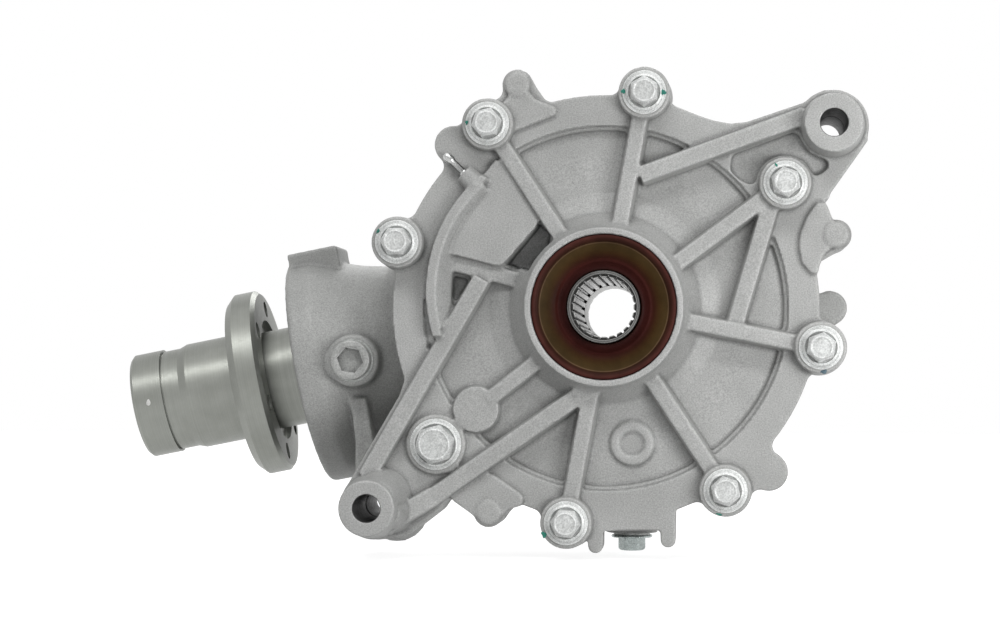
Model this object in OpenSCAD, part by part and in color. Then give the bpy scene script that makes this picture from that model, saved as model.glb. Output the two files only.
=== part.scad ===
/* [Layout] */
// Tilt of the pinion axis below the horizontal, degrees
pinion_tilt = 11.4; // [0:0.2:16]
// Height of the case joint face in front of the pinion axis
joint_h = 60; // [59.5:0.5:64]
// Radius of the cover bolt circle
bolt_circle_r = 104.7; // [103.5:0.1:107]
// Radial play of pieces that are fitted together
fit_gap = 0.05; // [0.02:0.01:0.1]
// Thickness of the joint gasket
gasket_t = 0.6; // [0.4:0.1:1.2]

/* [Housing] */
// Radius of the gear cavity
cavity_r = 86; // [84:0.5:87]
// How far the rim of the round flange stays inside the bolt circle
rim_inset = 1.9; // [0.5:0.1:3]
// Thickness of the cover flange
cover_flange_t = 20; // [17:0.5:22]
// Height of the bolt boss faces above the joint face
bolt_boss_t = 28; // [26:0.5:30]
// Radius of a bolt boss
bolt_boss_r = 12.4; // [11.8:0.1:13]
// Height of the cover's floor between the ribs, above the joint face
floor_t = 15; // [14:0.5:16.5]
// Height of the front seal rim above the joint face
seal_rim_t = 36; // [35:0.5:40]
// Radius of the seal boss at its rim
seal_boss_r = 38; // [37.2:0.2:40]
// Width of a rib at its top
rib_w = 7.4; // [5:0.2:9]
// Thickness of the case flange
case_flange_t = 14; // [11:0.5:18]
// Wall of the case around the gears
case_wall = 7; // [5:0.5:8]
// Distance from the pinion axis back to the rear rim
rear_rim = 66; // [66:0.5:72]

/* [Mounting lugs] */
// Upper right lug, distance to the right
lug_a_x = 109; // [105:0.5:112]
// Upper right lug, height
lug_a_z = 87.3; // [84:0.5:90]
// Lower left lug, distance to the left
lug_b_x = 111.7; // [109:0.5:115]
// Lower left lug, depth below the output axis
lug_b_z = 95.8; // [93:0.5:99]
// Bore of the mounting lugs
lug_bore_d = 13; // [10:0.5:14]
// Radius of a lug's faced end
lug_face_r = 14; // [13.5:0.1:15]
// Length of the upper right lug in front of the joint face
lug_a_t = 36; // [32:1:42]
// Length of the lower left lug in front of the joint face
lug_b_t = 48; // [42:1:54]
// Length of both lugs behind the joint face
lug_back = 46; // [36:1:56]

/* [Nose] */
// Distance from the output axis to the face of the pinion nose
nose_len = 157.5; // [155:0.5:163]
// Radius of the nose's end collar
collar_r = 57; // [55:0.5:58]
// Radius of the nose's body next to the gears
nose_r = 50; // [48:0.5:51]
// Radius of the nose's waist behind the collar
waist_r = 45.5; // [45:0.5:48]
// Distance from the nose face back to the filler plug
filler_back = 29.5; // [28:0.5:31]

/* [Gears] */
// Teeth of the ring gear
ring_teeth = 40; // [38:1:42]
// Teeth of the pinion
pinion_teeth = 11; // [10:1:12]
// Pitch radius of the ring gear at its heel
ring_pitch_r = 78; // [76:0.5:79]
// Width of the gear faces along the pitch cone
face_w = 26; // [20:1:28]
// Play between the gear flanks
backlash = 0.4; // [0.3:0.05:0.6]
// Mean spiral angle of the teeth, degrees
spiral = 25; // [0:1:32]

/* [Output hub] */
// Radius of the hub where the seals run
hub_seal_r = 17.3; // [17:0.1:17.8]
// Radius of the hub between the bearings
hub_body_r = 26; // [24:0.5:28]
// Tip radius of the internal spline
spline_tip_r = 14.2; // [13:0.1:14.4]
// Root radius of the internal spline
spline_root_r = 15.4; // [15:0.1:15.8]
// Teeth of the internal spline
spline_teeth = 24; // [20:1:28]
// Radius of the ring gear bolt circle
gear_bolt_circle_r = 52; // [50:0.5:53]

/* [Coupling] */
// Radius of the coupling's neck, where the pinion seal runs
neck_r = 25.2; // [25:0.1:26]
// Radius of the coupling flange
coupling_flange_r = 47; // [44:0.5:50]
// Thickness of the coupling flange
coupling_flange_t = 16; // [12:0.5:18]
// Gap between the nose face and the coupling flange
coupling_gap = 18.5; // [15:0.5:21]
// Length of the coupling's outer sleeve
sleeve_len = 55; // [48:1:62]
// Radius of the coupling's outer sleeve
sleeve_r = 27; // [26:0.2:29]
// Bore radius of the outer sleeve
socket_r = 20.5; // [19.5:0.1:21]
// Radius of the circle of flange holes
flange_hole_circle_r = 38; // [36:0.5:40]
// Diameter of a flange hole
flange_hole_d = 8.4; // [6:0.2:9]

/* [Fasteners] */
// Shank diameter of a cover bolt
bolt_d = 10; // [8:0.5:10]
// Hexagon of a cover bolt across flats
bolt_af = 13; // [12:0.5:14]
// Radius of a cover bolt's flange
bolt_flange_r = 10.7; // [9.5:0.1:11.2]
// Shank length of a cover bolt
bolt_len = 40; // [34:1:44]
// Shank diameter of the large cover bolt
big_bolt_d = 12; // [11:0.5:12.5]
// Hexagon of the large cover bolt across flats
big_bolt_af = 17.5; // [16:0.5:18]

/* [Hidden] */
$fn = 64;

alloy = "#b3b5b4";
alloy_dark = "#9a9c9b";
steel = "#c3c6c8";
steel_dark = "#84888b";
zinc = "#d2d6d8";
seal_red = "#5d1f1b";
seal_brown = "#5a4a2c";
brass = "#c9a860";

eps = 0.02;
deep = 300;

// Bolt angles around the output axis; the large bolt has the sixth place of the eight
bolt_angles = [34.5, 79.5, 122.5, 162.5, 260, 303.5, 349.5];
big_bolt_angle = 219;
case_top = joint_h - gasket_t;
floor_h = joint_h + floor_t;
// Rise of the flat plates around the pad lugs above the flange
plate_rise = 2;
flange_h = joint_h + cover_flange_t;
boss_h = joint_h + bolt_boss_t;
rim_h = joint_h + seal_rim_t;

disc_r = bolt_circle_r - rim_inset;

lug_a = [lug_a_x, lug_a_z];
lug_b = [-lug_b_x, -lug_b_z];
// Small lugs of the flange, as distance outside the bolt circle and angle: three with a raised pad, two that
// hold the dowels
pad_lugs = [for (p = [[11.3, 111.4], [11.3, 17.5], [8.5, 240.4]]) polar(bolt_circle_r + p[0], p[1])];
dowel_lugs = [for (p = [[3.2, 132.9], [6.3, 315]]) polar(bolt_circle_r + p[0], p[1])];
dowel_r = 4;
dowel_len = 16;
// Places of the two fins beside the drain plug
fin_x = [-4.4, 30.4];

// Drain plug below the cavity and breather nipple at the cover's upper left
drain_x = 11.8;
drain_h = 34;
drain_end = bolt_circle_r + 5.7;
drain_r = 6;
drain_washer_t = 1;
breather_angle = 136.2;
breather_h = boss_h - 4.5;
nipple_r = 2.35;

// Bearings as bore radius, outer radius, width, ball radius and number of balls
big_bearing = [20, 40, 18, 5.9, 9];
small_bearing = [15, 31, 16, 4.7, 9];
front_bearing_h = joint_h;
rear_bearing_h = -30 - big_bearing[2];
seal_t = 10;
seal_r = 34.8;

// Stations along the pinion axis
head_back = 84;
inner_bearing_s = 86;
spacer_s = inner_bearing_s + big_bearing[2];
outer_bearing_s = nose_len - 35.5;
neck_start = outer_bearing_s + small_bearing[2];
pinion_seal_s = nose_len - seal_t - 2;
pinion_seal_r = 36;
filler_s = nose_len - filler_back;
filler_at = [-filler_s * cos(pinion_tilt), -filler_s * sin(pinion_tilt)];
filler_h = 57;
filler_r = 7;
filler_ring_t = 1.2;
flange_s = nose_len + coupling_gap;
sleeve_s = flange_s + coupling_flange_t;
coupling_end = sleeve_s + sleeve_len;
nut_seat = flange_s + 10;
neck_spline_s = neck_start + 3;
nut_t = 12;
socket_s = nut_seat + nut_t + 2;
shaft_r = small_bearing[0];
thread_r = 12;

// Bevel gear geometry on the pitch cone
ring_cone = atan(ring_teeth / pinion_teeth);
pinion_cone = 90 - ring_cone;
cone_len = ring_pitch_r / sin(ring_cone);
module_heel = 2 * ring_pitch_r / ring_teeth;
pressure = 22.5;
shift = 0.4;
addendum = 0.85;
root_play = 0.25;

function polar(r, a) = [r * cos(a), r * sin(a)];
function inv_deg(a) = tan(a) * 180 / PI - a;

module face_frame() { rotate([90, 0, 0]) children(); }
module pinion_frame() { rotate([0, -(90 + pinion_tilt), 0]) children(); }
// The pinion axis seen in the face frame, with z outward along it
module pinion_in_face() { rotate([0, 0, pinion_tilt]) rotate([0, -90, 0]) children(); }
module at_bolts() { for (a = bolt_angles) translate(polar(bolt_circle_r, a)) children(); }
module at_big_bolt() { translate(polar(bolt_circle_r, big_bolt_angle)) children(); }
// Plane shape with its outer corners rounded
module rounded(r) { offset(r = r, $fn = 32) offset(delta = -r) children(); }
module hexagon(af) { circle(d = af / cos(30), $fn = 6); }
module tube(r_out, r_in, h) {
    rotate_extrude() translate([r_in, 0]) square([r_out - r_in, h]);
}

// A straight rib with drafted sides from point a at height ha to point b at height hb
module rib(a, b, ha, hb, w = rib_w, depth = 14, draft = 6) {
    run = norm(b - a);
    rise = hb - ha;
    foot = w / 2 + depth * tan(draft);
    translate([a[0], a[1], ha]) rotate([0, 0, atan2(b[1] - a[1], b[0] - a[0])])
        rotate([0, -atan2(rise, run), 0]) rotate([90, 0, 90])
            linear_extrude(norm([run, rise]))
                polygon([[-w / 2, 0], [w / 2, 0], [foot, -depth], [-foot, -depth]]);
}

// Outline of the joint flange, seen from the cover side
module flange_outline(fillet = 5) {
    offset(r = -fillet, $fn = 32) offset(delta = fillet) {
        circle(disc_r, $fn = 120);
        at_bolts() circle(bolt_boss_r);
        at_big_bolt() circle(bolt_boss_r);
        for (p = pad_lugs) {
            translate(p) circle(7.4);
            hull() {
                translate(p) circle(6.8, $fn = 32);
                translate(p * 0.8) circle(12, $fn = 32);
            }
        }
        for (p = dowel_lugs) translate(p) circle(9.2);
        translate(lug_a) circle(lug_face_r + 3.4);
        polygon([[30, 80], [34, 97], [39.2, 94.8], [45.6, 92.4], [52, 90.2], [60.1, 88.6], [68.1, 89.4],
            lug_a + [-12.5, 11.6], lug_a + [-5, 16.6], lug_a + [16.6, -7.4],
            [108.2, 55.3], [107, 52], [80, 40]]);
        translate(lug_b) circle(lug_face_r + 2.4);
        polygon([[-97, -35], [-99.3, -42.2], lug_b + [-12, 11.6], lug_b + [11.2, -15.9],
            lug_b + [17.6, -13.4], lug_b + [32.1, -2.2], lug_b + [35.3, 2.6], [-50, -80]]);
        // Lower edge between the drain fins
        polygon([[-6, 12 - disc_r], [fin_x[0], -disc_r - 4.6], [fin_x[1], -disc_r - 3.8], [34, 12 - disc_r]]);
    }
}

module drain_fins() {
    for (fin = [[fin_x[0], disc_r + 15.2], [fin_x[1], disc_r + 12.2]])
        hull() {
            translate([fin[0], 3.6 - fin[1]]) circle(3.6, $fn = 32);
            translate([fin[0], 4.8 - disc_r]) circle(3.8, $fn = 32);
        }
}

module cover_ribs() {
    hub_h = rim_h - 8;
    end_h = boss_h - 3;
    low_h = flange_h + 3;
    branch = [17, 63.4];
    junction = [62.3, -8.4];
    rib([-19.4, 31.9], polar(bolt_circle_r - 8, 122.5), hub_h, end_h);
    rib([6.9, 36.6], polar(bolt_circle_r - 8, 79.5), hub_h, end_h);
    rib(branch, lug_a + [-13, 4.6], hub_h - 1.5, end_h, 8);
    rib([31.9, 19], polar(bolt_circle_r - 8, 34.5), hub_h, end_h);
    rib(polar(bolt_circle_r - 8, 33.5), junction, end_h, end_h, 7.8);
    rib([34, -5.5], polar(bolt_circle_r - 8, 349.5), hub_h, end_h);
    rib([20, -30], polar(bolt_circle_r - 8, 303.5), hub_h, end_h);
    rib([-5.5, -36], polar(bolt_circle_r - 8, 260), hub_h, end_h);
    rib([-5.3, -37.5], lug_b + [28.5, 4.2], hub_h, end_h, 8);
    rib(lug_b + [30, 5.3], lug_b + [7, -8.6], end_h, end_h + 5, 9);
    rib([-28, -22.5], [-56, -44.5], hub_h - 2, low_h, 7);
    rib(lug_b + [-3, 14], [-59.2, 14], end_h + 1, end_h, 8.2);
    rib([-36, 11.7], [-76, 22.3], hub_h - 6.5, flange_h + 0.6, 7.2);
}

// Raised forms on the cover's floor
module cover_pads() {
    translate([0, 0, floor_h - 1]) {
        // Ring pad below the seal boss
        translate([13.2, -65.2]) difference() {
            cylinder(r1 = 11, r2 = 10.3, h = 3.4);
            translate([0, 0, 2]) cylinder(r = 6.2, h = 4);
        }
        // Round pad at the end of the short rib
        translate([-62, -49]) cylinder(r1 = 11.8, r2 = 11, h = 8.5);
    }
    breather_rib();
    // Bare plate over the breather chamber
    translate([0, 0, floor_h - 2]) linear_extrude(11)
        polygon([[-52.8, 71.4], [-47.6, 69.6], [-31.8, 41.6], [-32.4, 39.6], [-49, 20.6], [-51.6, 20],
            [-76, 26.4], [-72, 46]]);
    // Breather boss
    rotate([0, 0, breather_angle]) translate([85.2, 0, breather_h]) rotate([0, 90, 0])
        cylinder(r1 = 5.4, r2 = 4.8, h = 8.8);
    // Small round pads of the flange lugs, each on a raised plate
    for (p = pad_lugs) translate([p[0], p[1], flange_h]) cylinder(r = 5.2, h = plate_rise + 0.8);
    translate([0, 0, flange_h - 1]) linear_extrude(plate_rise + 1) rounded(2) {
        for (p = pad_lugs) translate(p) circle(6.4);
        polygon([[-37.4, 105], [-33.5, 100.6], [-23, 96.4], [-23.6, 93.1], [-31, 90.2], [-44, 85],
            [-50, 90], [-50, 98], [-46.8, 102], [-44, 108]]);
        polygon([[105.6, 50.6], [101.6, 50.2], [96.8, 43.8], [93.6, 35.8], [92.8, 29.4], [94.4, 21.4],
            [98.4, 16.6], [102, 15.6], [102.6, 20], [105.2, 26], [112, 32], [109, 42]]);
        polygon([[-74.6, -92], [-63.2, -80.7], [-58.4, -79.1], [-53.6, -80.3], [-40.8, -89.1], [-38.7, -91.5],
            [-39.8, -95.2], [-46, -97], [-50.6, -101.6], [-56, -101], [-61, -101.8], [-66, -98]]);
    }
}

// Curved rib along the breather channel: the space between two shifted circles, the inner one with much draft
module breather_rib() {
    reach = boss_h - floor_h + 2;
    outer = [-13.8, 7.9];
    inner = [-8.8, 7.2];
    intersection() {
        difference() {
            translate([outer[0], outer[1], floor_h - 2])
                cylinder(r1 = 73.2, r2 = 72, h = reach, $fn = 120);
            translate([inner[0], inner[1], floor_h - 3])
                cylinder(r1 = 66, r2 = 72.9, h = reach + 1.5, $fn = 120);
        }
        translate([0, 0, floor_h - 3]) linear_extrude(reach + 3) rounded(3) intersection() {
            difference() {
                translate(outer) circle(74, $fn = 120);
                translate(inner) circle(65, $fn = 120);
            }
            breather_sector();
        }
    }
    // Shelf between the rib and the flange ring
    translate([0, 0, floor_h - 2]) linear_extrude(flange_h - floor_h + 0.6) intersection() {
        difference() {
            circle(disc_r - 9, $fn = 120);
            translate(outer) circle(71, $fn = 120);
        }
        breather_sector();
    }
}

module breather_sector() {
    polygon([polar(60, 127), polar(100, 134.2), polar(110, 160), polar(100, 188.4), polar(60, 193)]);
}

module side_cover() {
    // Foot of the step between the floor and the flange ring; least radius of cuts beside the front bearing
    step_r = disc_r - 13.8;
    boss_clear_r = big_bearing[1] + 5;
    color(alloy) face_frame() difference() {
        union() {
            translate([0, 0, joint_h]) linear_extrude(cover_flange_t) difference() {
                union() {
                    flange_outline();
                    drain_fins();
                }
                circle(step_r - 1, $fn = 120);
            }
            // Dome between the ribs, with its sloped step at the flange
            rotate_extrude($fn = 120)
                polygon([[34, joint_h + 2], [step_r, joint_h + 2], [step_r + 4, flange_h], [step_r, floor_h],
                    [56, floor_h + 1], [46, floor_h + 4], [41, rim_h - 9], [seal_boss_r + 0.6, rim_h - 4],
                    [seal_boss_r, rim_h], [34, rim_h]]);
            translate([0, 0, joint_h]) {
                tube(step_r + 1, cavity_r - 0.1, cover_flange_t - 2);
                tube(big_bearing[1] + 8, 34, 10);
                at_bolts() cylinder(r1 = bolt_boss_r + 1, r2 = bolt_boss_r, h = bolt_boss_t);
                at_big_bolt() cylinder(r = bolt_boss_r + 2, h = cover_flange_t + 2);
                translate(lug_a) cylinder(r1 = lug_face_r + 3, r2 = lug_face_r, h = lug_a_t);
                translate(lug_b) cylinder(r1 = lug_face_r + 3.6, r2 = lug_face_r - 0.6, h = lug_b_t);
                // The lug's body flares toward the big bolt and along the lower edge
                translate(lug_b + [4, 4]) cylinder(r1 = lug_face_r + 5, r2 = lug_face_r - 5, h = lug_b_t - 3);
                translate(lug_b + [9, -2.4])
                    cylinder(r1 = lug_face_r + 2, r2 = lug_face_r - 8, h = lug_b_t - 8);
            }
            cover_ribs();
            cover_pads();
        }
        // Gear cavity, front bearing seat and seal seat
        difference() {
            translate([0, 0, joint_h - 10]) cylinder(r = cavity_r, h = 17, $fn = 120);
            translate([0, 0, joint_h - 11]) cylinder(r = big_bearing[1] + 8, h = 20);
        }
        translate([0, 0, joint_h - 1]) cylinder(r = big_bearing[1] + fit_gap, h = big_bearing[2] + 1.5);
        cylinder(r = 30, h = deep, center = true);
        translate([0, 0, rim_h - seal_t - 1]) cylinder(r = seal_r + fit_gap, h = deep);
        // Deep pocket beside the seal boss and the small one under the curved rib
        translate([0, 0, floor_h - 5]) linear_extrude(30) rounded(1.6) pocket_shape(boss_clear_r);
        translate([0, 0, floor_h + 7]) linear_extrude(30) rounded(1.6) pocket_shape(seal_boss_r + 2.4);
        translate([0, 0, floor_h - 4]) linear_extrude(30) rounded(1)
            polygon([[-73.8, 16], [-66.2, 14.2], [-67.5, 10.4], [-72.2, 3], [-74.6, 5]]);
        // Lowered floor on both sides of the upper right lug's rib
        translate([0, 0, floor_h + 0.8]) linear_extrude(30) rounded(3)
            difference() {
                polygon([[60, 66], [61, 73.6], [90, 84.4], [98, 80], [107, 74.5], [108, 70], [106, 66],
                    [99, 61.5], [80, 60], [72.5, 57.4], [64, 62]]);
                translate(lug_a) circle(lug_face_r + 2.4);
                at_bolts() circle(bolt_boss_r + 1.4);
            }
        // Holes for the bolts, the lugs, the dowels and the breather
        at_bolts() cylinder(d = bolt_d + 1, h = deep, center = true);
        at_big_bolt() cylinder(d = big_bolt_d + 1, h = deep, center = true);
        translate(lug_a) cylinder(d = lug_bore_d, h = deep, center = true);
        translate(lug_b) cylinder(d = lug_bore_d, h = deep, center = true);
        for (p = dowel_lugs) translate([p[0], p[1], joint_h - 1])
            cylinder(r = dowel_r + fit_gap, h = dowel_len / 2 + 1.5);
        rotate([0, 0, breather_angle]) translate([85.6, 0, breather_h]) rotate([0, 90, 0])
            cylinder(r = nipple_r + fit_gap, h = 20);
    }
}

// Floor of the pocket beside the seal boss, outside the given radius and above the foot of the plate's rib
module pocket_shape(clear_r) {
    difference() {
        polygon([[-48.4, 20], [-33.2, 38.4], [-32.6, 41], [-30.6, 41], [-25, 34], [-22, 24], [-36, 10],
            [-46, 15]]);
        circle(clear_r);
        polygon([[-30, 15.3], [-76, 27.5], [-76, 12], [-30, 4]]);
    }
}

module cover_gasket() {
    color("#3a3f44") face_frame() translate([0, 0, case_top]) linear_extrude(gasket_t) difference() {
        offset(delta = -1) flange_outline();
        circle(cavity_r + 1, $fn = 120);
        at_bolts() circle(d = bolt_d + 1.4);
        at_big_bolt() circle(d = big_bolt_d + 1.4);
        translate(lug_a) circle(d = lug_bore_d + 1);
        translate(lug_b) circle(d = lug_bore_d + 1);
        for (p = dowel_lugs) translate(p) circle(dowel_r + 0.3);
    }
}

module dowel_pins() {
    color(steel) face_frame() for (p = dowel_lugs)
        translate([p[0], p[1], joint_h - dowel_len / 2]) cylinder(r = dowel_r, h = dowel_len);
}

module main_case() {
    wall_r = cavity_r + case_wall;
    boss_r = big_bearing[1] + 7;
    color(alloy_dark) face_frame() difference() {
        union() {
            translate([0, 0, case_top - case_flange_t]) linear_extrude(case_flange_t) {
                difference() {
                    flange_outline();
                    circle(cavity_r - 0.5, $fn = 120);
                }
                // Case lug that shows behind the cover's right edge
                difference() {
                    translate([disc_r + 5.7, 0.5]) circle(8.4);
                    circle(cavity_r, $fn = 120);
                }
            }
            rotate_extrude($fn = 120)
                polygon([[0, case_top], [wall_r, case_top], [wall_r, -8], [wall_r - 6, -20], [62, -42],
                    [boss_r + 4, -46], [boss_r, -rear_rim], [0, -rear_rim]]);
            translate([0, 0, case_top - 30]) {
                at_bolts() cylinder(r1 = bolt_boss_r - 2, r2 = bolt_boss_r, h = 30);
                at_big_bolt() cylinder(r = bolt_boss_r, h = 30);
            }
            translate([lug_a[0], lug_a[1], joint_h - lug_back])
                cylinder(r1 = lug_face_r, r2 = lug_face_r + 3, h = lug_back - gasket_t);
            translate([lug_b[0], lug_b[1], joint_h - lug_back])
                cylinder(r1 = lug_face_r, r2 = lug_face_r + 3, h = lug_back - gasket_t);
            pinion_in_face() nose_body();
            case_webs(wall_r, boss_r);
            // Boss of the drain plug
            translate([drain_x, 0, drain_h]) rotate([90, 0, 0]) cylinder(r = 13, h = drain_end);
            // Boss of the filler plug on the nose
            translate([filler_at[0], filler_at[1], 20]) cylinder(r = 13, h = filler_h - 20);
        }
        case_cavity();
        pinion_in_face() nose_bores();
        at_bolts() translate([0, 0, boss_h - bolt_len - 4]) cylinder(d = bolt_d + 2 * fit_gap, h = deep);
        at_big_bolt() translate([0, 0, flange_h - bolt_len - 2])
            cylinder(d = big_bolt_d + 2 * fit_gap, h = deep);
        translate(lug_a) cylinder(d = lug_bore_d, h = deep, center = true);
        translate(lug_b) cylinder(d = lug_bore_d, h = deep, center = true);
        for (p = dowel_lugs) translate([p[0], p[1], joint_h - dowel_len / 2 - 0.5])
            cylinder(r = dowel_r + fit_gap, h = dowel_len);
        translate([drain_x, 0, drain_h]) rotate([90, 0, 0]) cylinder(r = drain_r + fit_gap, h = deep);
        translate([filler_at[0], filler_at[1], 0]) cylinder(r = filler_r + fit_gap, h = deep);
    }
}

// Cavity for the gears, rear bearing seat and rear seal seat
module case_cavity() {
    rotate_extrude($fn = 120)
        polygon([[0, joint_h + 1], [cavity_r, joint_h + 1], [cavity_r, -6], [cavity_r - 4, -14],
            [58, -30], [0, -30]]);
    translate([0, 0, rear_bearing_h - 0.5]) cylinder(r = big_bearing[1] + fit_gap, h = big_bearing[2] + 2);
    translate([0, 0, -rear_rim - 1]) cylinder(r = 30, h = 40);
    translate([0, 0, -rear_rim - 1]) cylinder(r = seal_r + fit_gap, h = seal_t + 2);
}

module nose_body() {
    rotate_extrude($fn = 120)
        polygon([[0, 30], [nose_r + 3, 30], [nose_r, nose_len - 65.5], [waist_r, nose_len - 51.5],
            [waist_r + 3, nose_len - 38],
            [waist_r + 6.3, nose_len - 28], [collar_r, nose_len - 12], [collar_r, nose_len - 1.5],
            [collar_r - 1.5, nose_len], [0, nose_len]]);
    // Flat pad on top of the collar
    translate([-20, 30, nose_len - 28]) cube([40, 30.6, 26]);
}

module nose_bores() {
    cylinder(r = 29, h = head_back + 1);
    translate([0, 0, 50]) cylinder(r = 33, h = head_back - 50);
    translate([0, 0, inner_bearing_s - 4]) cylinder(r = big_bearing[1] + fit_gap, h = big_bearing[2] + 4.3);
    cylinder(r = 27, h = nose_len - 20);
    translate([0, 0, outer_bearing_s - 0.3]) cylinder(r = small_bearing[1] + fit_gap, h = nose_len);
    translate([0, 0, pinion_seal_s - 1]) cylinder(r = pinion_seal_r + fit_gap, h = nose_len);
}

// Stiffening webs on the case's back and between the nose and the lower left lug
module case_webs(wall_r, boss_r) {
    for (a = [50, 95, 140, 235, 280, 325])
        rotate([0, 0, a]) translate([0, 3.5, 0]) rotate([90, 0, 0]) linear_extrude(7)
            polygon([[boss_r - 4, -rear_rim + 8], [boss_r + 6, -rear_rim + 10], [wall_r + 1, -14],
                [wall_r + 1, 6], [boss_r, 6]]);
    translate([0, 0, 14]) linear_extrude(37)
        polygon([lug_b + [-15.8, 51.8], lug_b + [-7.8, 51.8], lug_b + [-3.7, 28.8], lug_b + [-4.3, 5.8],
            lug_b + [-13.3, 5.8], lug_b + [-12.9, 29.8]]);
    translate([0, 0, 42]) linear_extrude(10)
        polygon([[60, 76], [62, 60], [86, 50], lug_a + [6, -8], lug_a + [-8, 6]]);
}

module flange_bolt(shank_d, len, af, flange_r, head) {
    translate([0, 0, -len]) cylinder(d = shank_d, h = len + 0.5);
    cylinder(r = flange_r, h = 1.4);
    translate([0, 0, 1.4 - eps]) cylinder(r1 = flange_r - 0.2, r2 = af / 2 + 0.4, h = 1.8);
    difference() {
        linear_extrude(head) hexagon(af);
        translate([0, 0, head - 0.7]) cylinder(r = af / 2 - 1.6, h = 2);
    }
}

module cover_bolts() {
    color(zinc) face_frame() at_bolts() translate([0, 0, boss_h])
        flange_bolt(bolt_d, bolt_len, bolt_af, bolt_flange_r, 9);
}

module large_cover_bolt() {
    color(zinc) face_frame() at_big_bolt() translate([0, 0, flange_h + 2])
        flange_bolt(big_bolt_d, bolt_len - 2, big_bolt_af, 12.6, 10);
}

module breather_nipple() {
    color(zinc) face_frame() rotate([0, 0, breather_angle]) translate([86, 0, breather_h]) rotate([0, 90, 0])
        rotate_extrude() polygon([[0.6, 0], [nipple_r, 0], [nipple_r, 8.6], [1.75, 8.6], [1.75, 16],
            [2.3, 16.6], [2.3, 19], [1.5, 21], [0.6, 21]]);
}

module drain_plug() {
    color(steel_dark) face_frame() translate([drain_x, -drain_end - drain_washer_t, drain_h])
        rotate([90, 0, 0]) {
            translate([0, 0, -17]) cylinder(r = drain_r, h = 17.5);
            cylinder(r = 10.2, h = 1.4);
            linear_extrude(7.8) hexagon(11.8);
        }
}

module drain_washer() {
    color(alloy) face_frame() translate([drain_x, -drain_end, drain_h]) rotate([90, 0, 0])
        tube(9, drain_r + fit_gap, drain_washer_t);
}

module filler_plug() {
    color(steel) face_frame()
        translate([filler_at[0], filler_at[1], filler_h + filler_ring_t]) difference() {
            union() {
                translate([0, 0, -16]) cylinder(r = filler_r, h = 17);
                cylinder(r = 9.4, h = 7);
                translate([0, 0, 7 - eps]) cylinder(r1 = 9.4, r2 = 8.8, h = 0.8);
            }
            translate([0, 0, 1.5]) linear_extrude(10) rotate([0, 0, 20]) hexagon(10);
        }
}

module filler_seal_ring() {
    color(alloy) face_frame() translate([filler_at[0], filler_at[1], filler_h])
        tube(10.6, filler_r + fit_gap, filler_ring_t);
}

// Radial shaft seal, drawn with its outer face at z = 0 and its body toward -z
module seal_case(r_out, r_shaft) {
    wall = 1.4;
    rotate_extrude() polygon([[r_out - 3.4, 0], [r_out, 0], [r_out, -seal_t], [r_shaft + 6, -seal_t],
        [r_shaft + 6, 1.2 - seal_t], [r_out - wall, 1.2 - seal_t], [r_out - wall, -wall],
        [r_out - 3.4, -wall]]);
}

module seal_lip(r_out, r_shaft) {
    lip = r_shaft + 0.08;
    rotate_extrude() polygon([[lip, -5.4], [lip + 1, -2.6], [lip + 1.2, -1.5], [r_out - 12, -2.2],
        [r_out - 3.5, -1.5], [r_out - 1.45, -1.5], [r_out - 1.45, -3], [r_out - 4, -3.2],
        [r_out - 12, -3.8], [lip + 3.2, -3.4], [lip + 3.2, -8], [lip + 1.2, -8]]);
}

module seal_spring(r_shaft) {
    rotate_extrude() translate([r_shaft + 4.2, -6]) circle(0.8, $fn = 24);
}

module at_front_seal() { face_frame() translate([0, 0, rim_h - 0.6]) children(); }
module at_rear_seal() { face_frame() translate([0, 0, -rear_rim + 0.6]) mirror([0, 0, 1]) children(); }
module at_pinion_seal() { pinion_frame() translate([0, 0, nose_len - 1]) children(); }

module front_seal_case() { color(seal_red) at_front_seal() seal_case(seal_r, hub_seal_r); }
module front_seal_lip() { color(seal_brown) at_front_seal() seal_lip(seal_r, hub_seal_r); }
module front_seal_spring() { color(steel_dark) at_front_seal() seal_spring(hub_seal_r); }
module rear_seal_case() { color(seal_red) at_rear_seal() seal_case(seal_r, hub_seal_r); }
module rear_seal_lip() { color(seal_brown) at_rear_seal() seal_lip(seal_r, hub_seal_r); }
module rear_seal_spring() { color(steel_dark) at_rear_seal() seal_spring(hub_seal_r); }
module pinion_seal_case() { color(seal_red) at_pinion_seal() seal_case(pinion_seal_r, neck_r - 2); }
module pinion_seal_lip() { color("#2b2b2c") at_pinion_seal() neck_lip(); }
module pinion_seal_spring() { color(steel_dark) at_pinion_seal() seal_spring(neck_r - 1.4); }
module neck_lip() {
    lip = neck_r + 0.08;
    rotate_extrude() polygon([[lip, -5.4], [lip + 0.8, -1.5], [pinion_seal_r - 1.45, -1.5],
        [pinion_seal_r - 1.45, -3], [lip + 1.8, -3.4], [lip + 1.8, -8], [lip + 0.8, -8]]);
}

// Outline of a spline; play is the part of a pitch by which the outline's own teeth are thinner on each side
module spline_shape(r_tip, r_root, n, play = 0) {
    pitch = 360 / n;
    corners = [[r_tip, -0.27 - play], [r_tip, 0.27 + play], [r_root, 0.4 + play], [r_root, 0.6 - play]];
    polygon([for (i = [0:n - 1]) for (p = corners) polar(p[0], pitch * (i + p[1]))]);
}

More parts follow.
